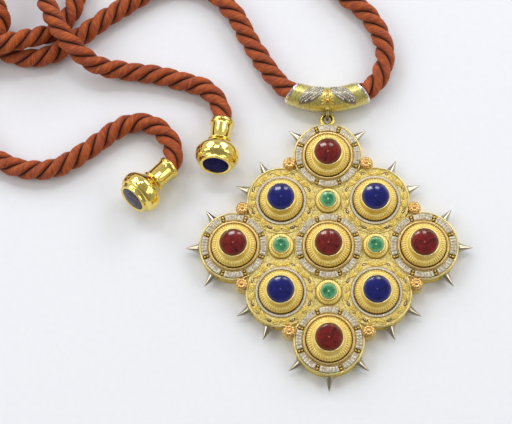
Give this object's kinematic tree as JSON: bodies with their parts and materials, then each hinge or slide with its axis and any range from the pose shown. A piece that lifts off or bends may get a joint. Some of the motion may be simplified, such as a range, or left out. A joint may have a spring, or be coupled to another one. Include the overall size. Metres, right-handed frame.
{
  "type": "enamel pendant on a cord",
  "caption": "Lobed gold case set with domed enamel roundels and edged with spikes, hung by a tube bail on a knotted twisted silk cord with turned gold ends, worn round the neck.",
  "frame": {"origin": "middle of the flat back, on the surface that the pendant lies on", "axes": "+Z out of the enamelled front, +Y from the pendant's middle to its bail, +X to the right"},
  "size_m": [0.1902, 0.2252, 0.0156],
  "materials": {
    "yellow_gold": "hatched field and polished rims",
    "bail_gold": "chased, greenish",
    "rose_gold": "cast",
    "white_gold": "polished",
    "red_enamel": "glossy, over engraved rays",
    "blue_enamel": "glossy, over engraved rays",
    "green_enamel": "glossy, over engraved rays",
    "finial_enamel": "glossy",
    "diamond": "cut stones in white metal",
    "silk_cord": "four twisted strands"
  },
  "bodies": {
    "root": {"case": "yellow_gold", "back_plate": "yellow_gold", "spikes": "white_gold", "red_boss_1": "yellow_gold", "red_enamel_1": "red_enamel", "diamond_border_1": "diamond", "red_boss_2": "yellow_gold", "red_enamel_2": "red_enamel", "diamond_border_2": "diamond", "red_boss_3": "yellow_gold", "red_enamel_3": "red_enamel", "diamond_border_3": "diamond", "red_boss_4": "yellow_gold", "red_enamel_4": "red_enamel", "diamond_border_4": "diamond", "red_boss_5": "yellow_gold", "red_enamel_5": "red_enamel", "diamond_border_5": "diamond", "blue_boss_1": "yellow_gold", "green_cup_1": "yellow_gold", "blue_enamel_1": "blue_enamel", "pave_ring_1": "diamond", "green_enamel_1": "green_enamel", "blue_boss_2": "yellow_gold", "green_cup_2": "yellow_gold", "blue_enamel_2": "blue_enamel", "pave_ring_2": "diamond", "green_enamel_2": "green_enamel", "blue_boss_3": "yellow_gold", "green_cup_3": "yellow_gold", "blue_enamel_3": "blue_enamel", "pave_ring_3": "diamond", "green_enamel_3": "green_enamel", "blue_boss_4": "yellow_gold", "green_cup_4": "yellow_gold", "blue_enamel_4": "blue_enamel", "pave_ring_4": "diamond", "green_enamel_4": "green_enamel", "rosette_1": "rose_gold", "rosette_2": "rose_gold", "rosette_3": "rose_gold", "rosette_4": "rose_gold", "rosette_5": "rose_gold", "rosette_6": "rose_gold", "rosette_7": "rose_gold", "rosette_8": "rose_gold", "bail_tube": "bail_gold", "bail_ring_left": "white_gold", "bail_ring_right": "white_gold", "bail_leaves": "diamond", "neck_cord_left": "silk_cord", "neck_cord_right": "silk_cord", "tail_cord_1": "silk_cord", "tail_cord_2": "silk_cord", "cord_knot": "silk_cord", "finial_1": "yellow_gold", "finial_2": "yellow_gold", "finial_enamel_1": "finial_enamel", "finial_enamel_2": "finial_enamel"}
  },
  "joints": []
}
